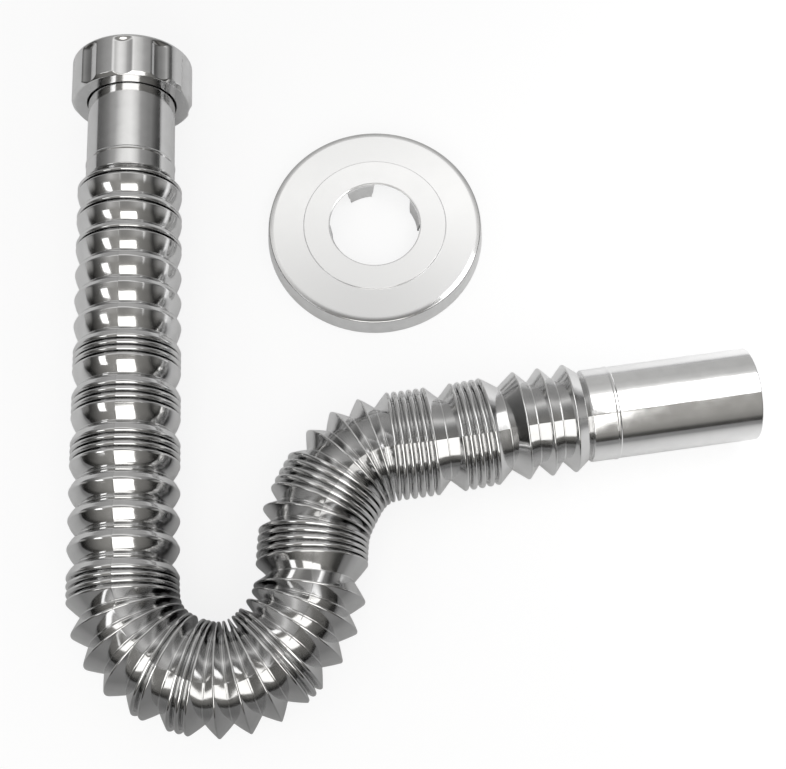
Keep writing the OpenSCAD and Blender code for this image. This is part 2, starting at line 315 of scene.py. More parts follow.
class Graph:
    """A node tree filled by short calls: what is a socket is linked, and what is a value is set."""

    def __init__(self, owner: Material | bpy.types.World, empty: bool = False) -> None:
        """Opens the owner's node tree.

        Args:
            owner: The material or world.
            empty: Whether the nodes that are in it go.
        """
        owner.use_nodes = True
        self.tree = owner.node_tree
        if empty:
            self.tree.nodes.clear()

    @property
    def shader(self) -> Node:
        """The material's main shader."""
        return self.tree.nodes["Principled BSDF"]

    def feed(self, node: Node, inputs: dict[str | int, object]) -> None:
        """Links or sets a node's inputs.

        Args:
            node: The node.
            inputs: A socket, number or colour for each input's name or number.
        """
        for key, given in inputs.items():
            if isinstance(given, NodeSocket):
                self.tree.links.new(given, node.inputs[key])
            else:
                node.inputs[key].default_value = given

    def add(self, kind: str, inputs: dict[str | int, object] | None = None) -> Node:
        """Adds a node.

        Args:
            kind: Its type, without the first word that all have.
            inputs: What its inputs get.

        Returns:
            The node.
        """
        node = self.tree.nodes.new("ShaderNode" + kind)
        self.feed(node, inputs or {})
        return node

    def place(self, output: str = "Object") -> bpy.types.bpy_prop_collection:
        """The outputs X, Y and Z of the point's own place."""
        place = self.add("TexCoord").outputs[output]
        return self.add("SeparateXYZ", {"Vector": place}).outputs

    def noise(self, per_m: float, detail: float = 2.0) -> NodeSocket:
        """A cloudy noise in the object's own coordinates.

        Args:
            per_m: How many clouds there are to a metre.
            detail: How many finer noises are added.

        Returns:
            A value of about 0 to 1.
        """
        place = self.add("TexCoord").outputs["Object"]
        inputs = {"Vector": place, "Scale": per_m, "Detail": detail}
        return self.add("TexNoise", inputs).outputs["Fac"]

    def bump(self, height: NodeSocket, depth_mm: float) -> NodeSocket:
        """The normal of a surface that a height of 0 to 1 raises by up to a depth.

        Args:
            height: The height's share.
            depth_mm: The depth.

        Returns:
            The normal.
        """
        node = self.add("Bump", {"Height": height, "Strength": 1.0, "Distance": depth_mm * MM})
        return node.outputs["Normal"]

    def carry(self, source: NodeSocket, old: Span, new: Span = (0.0, 1.0)) -> NodeSocket:
        """Carries a value from one span to another in a straight line, held at both ends.

        Args:
            source: The value.
            old: The span that it comes from.
            new: The span that it goes to.

        Returns:
            The new value.
        """
        node = self.add("MapRange", {
            "Value": source, "From Min": old[0], "From Max": old[1],
            "To Min": new[0], "To Max": new[1],
        })
        return node.outputs["Result"]

    def ramp(self, source: NodeSocket, stops: list[tuple[float, Colour]]) -> NodeSocket:
        """A colour that changes in straight steps with a value of 0 to 1.

        Args:
            source: The value.
            stops: Values in rising order, each with its colour.

        Returns:
            The colour.
        """
        node = self.add("ValToRGB", {"Fac": source})
        bar = node.color_ramp.elements
        while len(bar) < len(stops):
            bar.new(0.5)
        for stop, (position, colour) in zip(bar, stops):
            stop.position = position
            stop.color = (*colour, 1)
        return node.outputs["Color"]

    def mix(
        self, share: NodeSocket | float, one: NodeSocket, other: object, blend: str = "MIX"
    ) -> NodeSocket:
        """Mixes two colours.

        Args:
            share: How much of the other one there is.
            one: A colour.
            other: The other colour, as a socket or a value.
            blend: The way of mixing.

        Returns:
            The colour.
        """
        node = self.add("Mix")
        node.data_type = "RGBA"
        node.blend_type = blend
        # The Mix node's inputs 6 and 7 and its output 2 are the ones for colours.
        self.feed(node, {"Factor": share, 6: one, 7: other})
        return node.outputs[2]

    def choose(self, share: NodeSocket, no: Node, yes: Node) -> Node:
        """A shader that is one at a share of 0, and the other at 1."""
        return self.add("MixShader", {"Fac": share, 1: no.outputs[0], 2: yes.outputs[0]})


@dataclass(frozen=True)
class ChromePlate:
    """Bright chrome over moulded plastic: a mirror with faint ripples and a little haze.

    The spans of the haze's noise give where the tint and the roughness change.
    """

    name: str = "chrome_plate"
    tint: Colour = (0.71, 0.71, 0.71)
    haze_tint: Colour = (0.67, 0.67, 0.67)
    tint_span: Span = (0.35, 0.6)
    roughness: Span = (0.08, 0.15)
    rough_span: Span = (0.3, 0.75)
    haze_per_m: float = 160.0
    haze_detail: float = 4.0
    ripple_mm: float = 0.05
    ripple_per_m: float = 55.0

    def make(self) -> Material:
        """Builds the material.

        Returns:
            The material: haze from a fine noise, ripples from a coarse one.
        """
        mat = bpy.data.materials.new(self.name)
        graph = Graph(mat)
        haze = graph.noise(self.haze_per_m, self.haze_detail)
        stops = list(zip(self.tint_span, (self.haze_tint, self.tint)))
        graph.feed(graph.shader, {
            "Metallic": 1.0,
            "Base Color": graph.ramp(haze, stops),
            "Roughness": graph.carry(haze, self.rough_span, self.roughness),
            "Normal": graph.bump(graph.noise(self.ripple_per_m), self.ripple_mm),
        })
        return mat


@dataclass(frozen=True)
class PlateChrome(ChromePlate):
    """The wall plate's chrome: a whiter, less metallic face above plainer chrome on rim and wall,
    which is a painted highlight.

    The face's painted highlight comes in over a span of height.
    """

    name: str = "plate_chrome_painted_face"
    painted_highlight_tint: Colour = (0.95, 0.95, 0.95)
    ripple_mm: float = 0.03
    ripple_per_m: float = 22.0
    milk: float = 0.45
    highlight_span_mm: Span = (10.0, 10.2)

    def make(self) -> Material:
        """Builds the material.

        Returns:
            The material: height mixes the wall's chrome into the face's painted highlight, a whiter
                tint with less metal.
        """
        mat = super().make()
        graph = Graph(mat)
        height = graph.place()["Z"]
        span = tuple(v * MM for v in self.highlight_span_mm)
        wall = graph.shader.inputs["Base Color"].links[0].from_socket
        # Painted highlight: above the span the top face gets a whiter tint and less metal.
        graph.feed(graph.shader, {
            "Metallic": graph.carry(height, span, (1.0, 1.0 - self.milk)),
            "Base Color": graph.mix(graph.carry(height, span), wall, (*self.painted_highlight_tint, 1)),
        })
        return mat


@dataclass(frozen=True)
class TubeChrome(ChromePlate):
    """The outlet tube's chrome: a brighter copy of the hose's chrome, which is painted light on the
    tube.
    """

    name: str = "tube_chrome_painted_bright"
    # Painted light: these tints are brighter than the hose's chrome.
    tint: Colour = (0.88, 0.88, 0.88)
    haze_tint: Colour = (0.84, 0.84, 0.84)
    ripple_mm: float = 0.08
    ripple_per_m: float = 45.0


@dataclass(frozen=True)
class SealRubber:
    """Matt black moulded rubber with a fine grain."""

    name: str = "seal_rubber"
    dark: Colour = (0.012, 0.012, 0.013)
    light: Colour = (0.03, 0.03, 0.032)
    roughness: float = 0.62
    grain_mm: float = 0.05
    grain_per_m: float = 900.0

    def make(self) -> Material:
        """Builds the material.

        Returns:
            The material: grain from a fine noise in colour and height.
        """
        mat = bpy.data.materials.new(self.name)
        graph = Graph(mat)
        grain = graph.noise(self.grain_per_m)
        graph.feed(graph.shader, {
            "Roughness": self.roughness,
            "Base Color": graph.ramp(grain, [(0.0, self.dark), (1.0, self.light)]),
            "Normal": graph.bump(grain, self.grain_mm),
        })
        return mat


# ---------------------------------------------------------------- the hose


class Follow(Enum):
    """How a length of hose follows the bodies that it joins."""

    RIGID = "rides on one body"
    BEND = "bends between two bodies"
    PRESS = "is pressed together along its axis"


@dataclass(frozen=True)
class FoldShape:
    """The section of a fold: root depth under the crest, and how round and swollen it is.

    The crest's and root's arcs have these radii where there is room, and otherwise these shares of
    the half fold's length. The root lies at a share of the way from one crest to the next.
    """

    depth: float
    crest_round: float = 0.6
    root_round: float = 0.5
    crest_share: float = 0.46
    root_share: float = 0.46
    swell: float = 0.0
    root_place: float = 0.5


SHUT = FoldShape(2.9, 1.15, 0.2, 0.74, 0.12)
TIGHT = FoldShape(2.9, 0.85, 0.35, 0.6, 0.22)
SLACK = FoldShape(2.9, 1.3, 0.4, swell=0.38, root_place=0.64)
UPPER = FoldShape(3.0, 1.6, 0.4, swell=0.34, root_place=0.62)
SINGLE = FoldShape(3.4, 1.8, 0.4, swell=0.4, root_place=0.58)
LOWER = FoldShape(4.1, 2.2, 0.4, swell=0.42, root_place=0.54)
FULL = FoldShape(5.3)


@dataclass(frozen=True)
class FoldRun:
    """A run of equal folds: how many, their distance on the tight side, their section, the turn of
    one in degrees, and its share of the drop from the nut's level."""

    folds: int
    tight: float
    shape: FoldShape
    turn: float = 0.0
    drop: int = 0


@dataclass(frozen=True)
class Length:
    """A named length of hose up to a station, with its own body or the joint whose fixed body it
    rides on.

    One that has neither is put on no body.
    """

    node: str
    last: int
    body: str = ""
    joint: str = ""

    @property
    def follow(self) -> Follow:
        """How it follows its bodies.

        Returns:
            The way.
        """
        if self.body:
            return Follow.RIGID
        return Follow.PRESS if self.joint else Follow.BEND


@dataclass
class BellowsHose:
    """The folded hose, as rings at crests and roots along its path, with arcs on both.

    Each seam turn is a run's number and how far round the mould seam lies there, in degrees. The
    flank holds the shares of the way at which it has a row. The bore lies crest_walls times the
    wall under a crest.
    """

    pipe_r: float = 20.0
    crest_rise: float = 3.5
    root_drop: float = 1.8
    wall: float = 0.9
    crest_walls: float = 1.8
    open_pitch: float = 12.2
    slack_pitch: float = 11.2
    shut_len: float = 3.0
    neck: float = 4.4
    outlet_neck: float = 4.4 * 1.6
    slack: float = 0.02
    end_ring: float = 0.05
    pipe_z: float = 27.8 * math.cos(math.radians(9))
    facet: float = math.radians(180 / 14)
    around: int = 96
    arc_steps: int = 4
    flank: tuple[float, ...] = (0.2, 0.4, 0.6, 0.8)
    seam_mm: float = 0.13
    seam_width: float = 0.8
    seam_columns: tuple[float, ...] = (-1.6, -0.8, 0.8, 1.6)
    seam_turns: Stops = ((0, 90.5), (13, 92.0), (18, 110.0), (22, 93.0), (26, 107.0), (30, 110.0))
    home: np.ndarray = field(default_factory=lambda: np.zeros(3))
    crest_r: float = field(init=False)
    root_r: float = field(init=False)
    place: np.ndarray = field(init=False)
    half: dict[str, np.ndarray] = field(init=False)
    runs_at: np.ndarray = field(init=False)
    angles: np.ndarray = field(init=False)
    seam: np.ndarray = field(init=False)

    def __post_init__(self) -> None:
        """Works out the stations along the path, and the columns and the seam round the hose."""
        self.crest_r = self.pipe_r + self.crest_rise
        self.root_r = self.pipe_r - self.root_drop
        self.lay_path(self.runs())
        even = np.linspace(0, 2 * np.pi, self.around, endpoint=False)
        fine = np.radians(self.seam_columns)
        self.angles = np.sort(np.concatenate([even, fine % (2 * np.pi), np.pi + fine]))
        at_runs, turns = np.array(self.seam_turns).T
        stations = self.runs_at[at_runs.astype(int)]
        self.seam = np.radians(np.interp(np.arange(len(self.place)), stations, turns))

    @property
    def rows_per_half(self) -> int:
        """Rows of the skin from one station to the next: two arcs and the flank between them."""
        return 2 * self.arc_steps + 1 + len(self.flank)

    def runs(self) -> list[FoldRun]:
        """The hose's runs of folds, in order from the inlet.

        Each row is a run's folds, tight side, section, turn and drop.

        Returns:
            The runs.
        """
        o, p, s = self.open_pitch, self.slack_pitch, self.shut_len
        pair, snug = 0.87 * s, 0.67 * s
        return [FoldRun(*row) for row in (
            (1, pair, TIGHT), (1, p, SLACK, 0, 1), (1, pair, TIGHT), (1, p, SLACK, 0, 1),
            (1, pair, TIGHT), (4, o, UPPER, 0, 1), (3, s, SHUT), (1, o, SINGLE, 0, 1),
            (3, s, SHUT), (1, o, SINGLE, 0, 1), (3, s, SHUT), (4, o, LOWER, 0, 1),
            (3, 0.83 * s, SHUT, 1.2), (4, 0.87 * s, FULL, 13.8), (1, snug, SHUT, 2.4),
            (1, 1.37 * s, FULL, 9.8), (2, snug, SHUT, 2.4), (4, 0.63 * s, FULL, 13.7),
            (2, snug, SHUT, 2.4), (2, 1.57 * s, FULL, 10.6), (1, 0.76 * s, FULL, 13),
            (1, 3.1 * s, FULL, 8.2), (4, 0.8 * s, SHUT, -1.45), (2, 0.83 * s, FULL, -8.85),
            (4, 0.9 * s, SHUT, -1.45), (4, 0.7 * s, FULL, -13.4), (5, 1.06 * s, SHUT, 0.4),
            (1, 0.95 * o, FULL), (4, 1.05 * s, SHUT, 0.7), (1, 1.08 * o, FULL, -2.4),
            (2, 0.85 * o, FULL, -0.75),
        )]

    def lay_path(self, runs: list[FoldRun]) -> None:
        """Works out all stations: each fold goes straight ahead at its middle heading.

        A fold's length is its tight side plus the crest radius times its turn. A root lies at its
        section's share of the way between its two crests. Sums run as cumulative arrays over all
        folds. Every half fold has its fold's section, and the necks at both ends the full one.

        Args:
            runs: The runs of folds.
        """
        reps = [run.folds for run in runs]
        tight, turn, drop = (
            np.repeat([getattr(run, name) for run in runs], reps).astype(float)
            for name in ("tight", "turn", "drop")
        )
        turn = np.radians(turn)
        step = tight + self.crest_r * np.abs(turn)
        head = np.concatenate([[-np.pi / 2], -np.pi / 2 + np.cumsum(turn)])
        mid = head[:-1] + turn / 2
        x = np.concatenate([[0], np.cumsum(step * np.cos(mid))])
        y = np.concatenate([[0], np.cumsum(step * np.sin(mid))])
        whole_drop = self.pipe_z - self.crest_r * math.cos(self.facet)
        fall = whole_drop * np.concatenate([[0], np.cumsum(drop)]) / drop.sum()
        crests = np.stack([x, y, self.pipe_z - fall, head], 1)
        neck = dataclasses.asdict(FULL)
        shape = {n: np.repeat([getattr(run.shape, n) for run in runs], reps) for n in neck}
        share = shape["root_place"][:, None]
        self.place = np.empty((2 * len(crests) + 1, 4))
        self.place[1::2] = crests
        self.place[2:-1:2] = crests[:-1] * (1 - share) + crests[1:] * share
        self.place[0] = [0, self.neck, self.pipe_z, -np.pi / 2]
        ahead = np.array([math.cos(head[-1]), math.sin(head[-1]), 0, 0])
        self.place[-1] = crests[-1] + self.outlet_neck * ahead
        self.runs_at = 2 * np.concatenate([[0], np.cumsum(reps)])[:-1] + 1
        self.half = {
            n: np.concatenate([[neck[n]], np.repeat(v, 2), [neck[n]]])[:, None]
            for n, v in shape.items()
        }

    def at(self, run: int) -> int:
        """The station at which a run begins."""
        return int(self.runs_at[run])

    def seat_on(self, corner: np.ndarray) -> None:
        """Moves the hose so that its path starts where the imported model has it."""
        self.home = corner

    def axis_at(self, station: int) -> Axis:
        """The axis that stands at a station and points along the hose there.

        Args:
            station: Its number, or -1 for the last one.

        Returns:
            The axis.
        """
        x, y, z, h = self.place[station]
        return Axis(
            np.array([x, y, z]) + self.home,
            np.array([math.cos(h), math.sin(h), 0.0]),
            np.array([-math.sin(h), math.cos(h), 0.0]),
            np.array([0.0, 0.0, 1.0]),
        )

    @staticmethod
    def rings(q: np.ndarray, t: np.ndarray, r: np.ndarray | float) -> np.ndarray:
        """Points of upright rings: each goes r cos t to the left of its heading and r sin t up.

        Args:
            q: Places, with x, y, z and heading last.
            t: Angles round the rings.
            r: Radii.

        Returns:
            Points, with x, y and z last.
        """
        h = q[..., 3]
        return np.stack([
            q[..., 0] - r * np.cos(t) * np.sin(h),
            q[..., 1] + r * np.cos(t) * np.cos(h),
            q[..., 2] + r * np.sin(t),
        ], -1)

    def skin(self) -> tuple[np.ndarray, np.ndarray]:
        """The whole outer skin as one grid, rows along the hose and columns round it.

        Each half fold is a root arc, a flank and a crest arc. The flank is the inner tangent of the
        two arcs' circles: it rises at the angle of their centres plus asin(sum of radii over their
        distance), and swells by 4 w (1 - w) times the swell at a share w of its way. The half
        fold's length differs round the hose, so all of this is worked out per column. A low ridge,
        a Gaussian of the angle, runs along each of the two mould parting lines.

        Returns:
            Points (rows, cols, 3) and unit normals of the same shape.
        """
        s, half = self.angles, self.half
        a, b = self.place[:-1, None], self.place[1:, None]
        turn_a, turn_b = self.seam[:-1, None], self.seam[1:, None]
        mean_r = (self.crest_r + self.root_r) / 2
        reach = self.rings(b, s + turn_b, mean_r) - self.rings(a, s + turn_a, mean_r)
        span = np.linalg.norm(reach, axis=-1)
        crest = np.minimum(half["crest_round"], half["crest_share"] * span)
        root = np.minimum(half["root_round"], half["root_share"] * span)
        low = self.crest_r - half["depth"] + 0 * span
        rise = self.crest_r - low - crest - root
        slope = np.arctan2(rise, span) + np.arcsin((crest + root) / np.hypot(rise, span))
        k = np.arange(self.arc_steps + 1) / self.arc_steps
        psi = slope[:, None] * k[None, :, None]
        x0 = root[:, None] * np.sin(psi)
        r0 = low[:, None] + root[:, None] * (1 - np.cos(psi))
        psi = slope[:, None] * k[None, ::-1, None]
        x1 = span[:, None] - crest[:, None] * np.sin(psi)
        r1 = self.crest_r - crest[:, None] * (1 - np.cos(psi))
        w = np.array(self.flank)[None, :, None]
        puff = half["swell"][:, None] * 4 * w * (1 - w)
        xm = x0[:, -1:] * (1 - w) + x1[:, :1] * w - puff * np.sin(slope)[:, None]
        rm = r0[:, -1:] * (1 - w) + r1[:, :1] * w + puff * np.cos(slope)[:, None]
        x = np.concatenate([x0, xm, x1], 1) / span[:, None]
        r = np.concatenate([r0, rm, r1], 1)
        x[1::2] = 1 - x[1::2, ::-1]
        r[1::2] = r[1::2, ::-1].copy()
        off = np.minimum(np.abs((s + np.pi / 2) % np.pi - np.pi / 2), 1)
        r = r + self.seam_mm * np.exp(-((off / math.radians(self.seam_width)) ** 2))
        # A point's own share of the half fold places and turns its ring.
        q = a[:, None] * (1 - x[..., None]) + b[:, None] * x[..., None]
        t = s + turn_a[:, None] * (1 - x) + turn_b[:, None] * x
        grid = self.rings(q, t, r)
        grid = np.concatenate([grid[:, :-1].reshape(-1, len(s), 3), grid[-1, -1:]], 0) + self.home
        return grid, grid_normals(grid, False, True)

    def bore(self, first: int, last: int) -> np.ndarray:
        """The bore's rings between two stations: each ring a wall's thickness inside the skin.

        Args:
            first: Station of the first end.
            last: Station of the other end.

        Returns:
            Points (stations, cols, 3).
        """
        stations = np.arange(first, last + 1)
        depth = self.half["depth"][np.minimum(stations, len(self.place) - 2), 0]
        inside = np.where(stations % 2 == 1, self.crest_walls * self.wall, depth + self.wall)
        turned = self.angles + self.seam[stations, None]
        rings = self.rings(self.place[stations, None], turned, self.crest_r - inside[:, None])
        return rings + self.home

    def cut(self, grid: np.ndarray, normals: np.ndarray, first: int, last: int) -> Shell:
        """One length of hose as a closed shell: its skin, its bore and a flat ring at each end.

        Args:
            grid: The whole skin.
            normals: Its normals.
            first: Station of the first end.
            last: Station of the other end.

        Returns:
            The shell.
        """
        a, b = first * self.rows_per_half, last * self.rows_per_half + 1
        skin, cols = grid[a:b], grid.shape[1]
        bore = self.bore(first, last)
        rows, inner = len(skin), len(bore)
        base = rows * cols
        j = np.arange(cols)
        k = (j + 1) % cols
        e, f = base - cols, base + (inner - 1) * cols
        quads = np.vstack([
            grid_quads(rows, cols, False, True),
            grid_quads(inner, cols, False, True, base)[:, ::-1],
            np.stack([j, base + j, base + k, k], 1),
            np.stack([e + j, e + k, f + k, f + j], 1),
        ])
        inward = -grid_normals(bore, False, True)
        return Shell(
            np.vstack([skin.reshape(-1, 3), bore.reshape(-1, 3)]),
            np.vstack([normals[a:b].reshape(-1, 3), inward.reshape(-1, 3)]),
            quads,
        )

    def lengths(self) -> list[Length]:
        """The hose's named lengths in order from the inlet, each up to the station where it ends.

        Soft and rigid ones alternate, with a soft one at both ends. A rigid middle fold starts
        three stations into its run and ends five stations into it.

        Returns:
            The lengths.
        """
        at = self.at
        return [
            Length("leg_bellows_1", at(6), joint="leg_close"),
            Length("leg_stack_1", at(7), "leg_high"),
            Length("leg_bellows_2", at(8), joint="leg_close_high"),
            Length("leg_stack_2", at(9), "leg_middle"),
            Length("leg_bellows_3", at(10), joint="leg_close_middle"),
            Length("leg_stack_3", at(11), "leg_low"),
            Length("leg_bellows_4", at(12), joint="leg_close_low"),
            Length("leg_stack_4", at(13), "leg_foot"),
            Length("bend_bellows_1", at(13) + 3), Length("bend_fold_1", at(13) + 5, "bend_1"),
            Length("bend_bellows_2", at(14)), Length("bend_stack_1", at(15), "bend_2"),
            Length("bend_bellows_3", at(16)), Length("bend_stack_2", at(17), "bend_3"),
            Length("bend_bellows_4", at(17) + 3), Length("bend_fold_2", at(17) + 5, "bend_4"),
            Length("bend_bellows_5", at(18)), Length("bend_stack_3", at(19), "bend_5"),
            Length("bend_bellows_6", at(19) + 3), Length("bend_fold_3", at(19) + 5, "bend_6"),
            Length("bend_bellows_7", at(22)), Length("elbow_stack_1", at(23), "riser"),
            Length("elbow_bellows_1", at(24)), Length("elbow_stack_2", at(25), "elbow_1"),
            Length("elbow_bellows_2", at(25) + 3), Length("elbow_fold", at(25) + 5, "elbow_2"),
            Length("elbow_bellows_3", at(26)), Length("outlet_stack_1", at(27), "elbow_3"),
            Length("outlet_bellows_1", at(28), joint="outlet_push"),
            Length("outlet_stack_2", at(29), "outlet_ring"),
            Length("outlet_bellows_2", len(self.place) - 1),
        ]

    def bend(self, piece: Object, first: int, last: int) -> None:
        """Bakes a bending length's place into its mesh, and works out the chord between its end
        stations, which nothing uses; it is put on no body.

        Args:
            piece: The finished mesh.
            first: Its first station.
            last: Its last station.
        """
        a, b = self.place[first], self.place[last]
        chord = (b - a)[:3] * [1, 1, 0]
        chord = chord / float(np.linalg.norm(chord))
        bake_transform(piece)

    def press(self, piece: Object, name: str, after: str, first: int, last: int) -> None:
        """Puts a pressed length on its joint's fixed body, with a mesh of its own.

        Args:
            piece: The finished mesh.
            name: The joint's name.
            after: The body at its last station; not used.
            first: Its first station; not used.
            last: Its last station; not used.
        """
        joint = next(j for j in frame["joints"] if j["name"] == name)
        travel = max(abs(v) for v in joint["range_m"]) / MM
        axis = tuple(v + 0.0 for v in joint["axis"])
        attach(piece, joint["parent"])
        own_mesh(piece)

    def build(self, finish: Material) -> None:
        """Makes every length of the hose in place of its CAD node, and puts the rigid and pressed
        ones on their bodies.

        Args:
            finish: The hose's material.
        """
        grid, normals = self.skin()
        parts = self.lengths()
        first, before = 0, "inlet"
        for part, after in zip(parts, [p.body for p in parts[1:]] + ["outlet"]):
            shell = self.cut(grid, normals, first, part.last)
            piece = put_piece(part.node, shell, finish, part.body)
            if part.follow is Follow.BEND:
                self.bend(piece, first, part.last)
            elif part.follow is Follow.PRESS:
                self.press(piece, part.joint, after, first, part.last)
            log.info("%s %s", part.node, part.follow.value)
            first, before = part.last, part.body


# ---------------------------------------------------------------- rigid pieces


@dataclass
class PipeEnd:
    """A smooth chromed pipe end with a raised band near the hose and rounded rims."""

    node: str
    body: str
    length: float
    band: float
    radius: float = 20.0
    wall: float = 1.2
    band_rise: float = 0.35
    bead: float = 0.1
    lip_r: float = 17.3
    around: int = 160

    def build(self, axis: Axis, finish: Material) -> None:
        """Turns the pipe's outline about its axis.

        Args:
            axis: The axis from the hose outwards.
            finish: The pipe's material.
        """
        r, w, rise = self.radius, self.wall, self.band_rise
        corners = np.array([
            [0, self.lip_r, 0.2],
            [w, self.lip_r, 0.2],
            [w + 1, r - w, 0.6],
            [self.length, r - w, 0.25],
            [self.length, r, 0.55],
            [self.band + 0.5, r, 0.4],
            [self.band, r + rise, 0.3],
            [self.band - 0.7, r + rise, 0.3],
            [self.band - 1.3, r + self.bead, 0.3],
            [0, r + self.bead, 0.45],
        ])
        put_piece(self.node, lathe(axis, corners, self.around), finish, self.body)


@dataclass
class UnionNut:
    """The slip nut: ten grips whose flutes run out before a round collar, and an inside thread.

    The thread's tooth is a wave of height tooth_gain with tooth_loss cut off its foot. It fades
    over fade, from lead past the thread's root and up to tail before the mouth.
    """

    radius: float = 27.8
    length: float = 21.5
    grips: int = 10
    flute: float = 1.2
    flute_end: float = 17.6
    run_out: float = 2.4
    edge_blend: float = 0.1
    shoulder: float = 3.0
    seat_r: float = 21.9
    thread_r: float = 22.4
    thread_len: float = 10.5
    thread_pitch: float = 2.309
    thread_depth: float = 1.3
    tooth_gain: float = 1.35
    tooth_loss: float = 0.12
    lead: float = 0.8
    tail: float = 0.5
    fade: float = 1.2
    hole_r: float = 20.6
    around: int = 300
    row_step: float = 0.3

    def flute_outline(self, angle: np.ndarray) -> np.ndarray:
        """Radius of the fluted outline: circle arcs sunk into the nut's circle, by angle.

        Within half a flute of a flute's middle, the radius is where the ray meets the flute's
        circle: d cos(u) - sqrt(arc^2 - (d sin(u))^2), with d the circle's distance.

        Args:
            angle: Angles round the nut, 0 at the middle of a flute.

        Returns:
            Radii of the same shape.
        """
        half = math.pi / (2 * self.grips)
        low = self.radius - self.flute
        arc = (self.radius**2 + low**2 - 2 * self.radius * low * math.cos(half)) / (
            2 * (self.radius * math.cos(half) - low))
        pitch = 2 * math.pi / self.grips
        u = (angle + pitch / 2) % pitch - pitch / 2
        d = low + arc
        inside = np.clip(arc**2 - (d * np.sin(u)) ** 2, 0, None)
        sunk = d * np.cos(u) - np.sqrt(inside)
        return np.where(np.abs(u) < half, sunk, self.radius)

    def section(self) -> np.ndarray:
        """The closed outline of the nut's wall, as rows of along and radius.

        Returns:
            Array (n, 2).
        """
        r, seat, mouth = self.radius, self.seat_r, self.length
        root = mouth - self.thread_len
        corners = np.array([
            [0, self.hole_r, 0.3],
            [self.shoulder, self.hole_r, 0.15],
            [self.shoulder, seat, 0.15],
            [root, seat, 0.2],
            [root + 0.5, self.thread_r, 0.2],
            [mouth, self.thread_r, 0.3],
            [mouth, r - 1.3, 0.5],
            [mouth - 1.3, r, 1.4],
            [1.4, r, 0.5],
            [0, r - 1.5, 0.5],
        ])
        return thicken_rows(rounded_outline(corners, 4)[0], self.row_step)

    def build(self, axis: Axis, finish: Material) -> None:
        """Makes the nut as one grid: rows go round its wall's section, columns round its axis.

        The outer rows take the softer minimum of the section's radius and the fluted outline,
        -k log(exp(-a/k) + exp(-b/k)), raised by k log 2 where the two meet. The outline rises back
        to the nut's radius over the run-out as 3q^2 - 2q^3. The thread's rows take a rounded
        triangle wave of the distance along less the angle's share of the pitch.

        Args:
            axis: The nut's axis from its end wall to its mouth.
            finish: The nut's material.
        """
        r, mouth, root = self.radius, self.length, self.length - self.thread_len
        p = self.section()
        t = np.linspace(0, 2 * np.pi, self.around, endpoint=False)[None, :]
        x, y = p[:, :1] + 0 * t, p[:, 1:] + 0 * t
        outer = y > (r + self.thread_r) / 2
        q = np.clip((x - self.flute_end) / self.run_out, 0, 1)
        q = q * q * (3 - 2 * q)
        outline = self.flute_outline(t - math.pi / 2) * (1 - q) + r * q
        k = self.edge_blend
        near = np.exp(-np.abs(y - outline) / k)
        soft = np.minimum(y, outline) - k * np.log1p(near) + k * math.log(2) * near
        wave = (x / self.thread_pitch - t / (2 * np.pi)) % 1
        tooth = self.tooth_gain * (1 - np.abs(2 * wave - 1)) - self.tooth_loss
        fade = np.minimum(x - root - self.lead, mouth - self.tail - x) / self.fade
        depth = self.thread_depth * np.clip(tooth, 0, 1) * np.clip(fade, 0, 1)
        y = np.where(outer, soft, y + depth)
        grid = axis.spin(x, y, t + 0 * x)
        normals = grid_normals(grid, True, True)
        shell = Shell.closed(grid, normals, grid_quads(len(p), self.around, True, True))
        if (shell.normals * (shell.points - axis.origin)).sum() < 0:
            shell.normals = -shell.normals
        put_piece("union_nut", shell, finish, "nut")


@dataclass
class SealWasher:
    """The tapered rubber washer between the nut's end wall and the pipe it fits."""

    inner_r: float = 20.05
    outer_r: float = 21.6
    length: float = 6.5
    full_to: float = 0.35
    tip: float = 0.7
    around: int = 120

    def build(self, axis: Axis, finish: Material) -> None:
        """Turns the washer's outline about the nut's axis.

        Args:
            axis: The axis from the nut's end wall towards its mouth.
            finish: The washer's material.
        """
        corners = np.array([
            [0, self.inner_r, 0.15],
            [self.length, self.inner_r, 0.15],
            [self.length, self.inner_r + self.tip, 0.2],
            [self.length * self.full_to, self.outer_r, 0.4],
            [0, self.outer_r, 0.3],
        ])
        shell = lathe(axis, corners, self.around)
        put_piece("seal_washer", shell, finish, "seal")


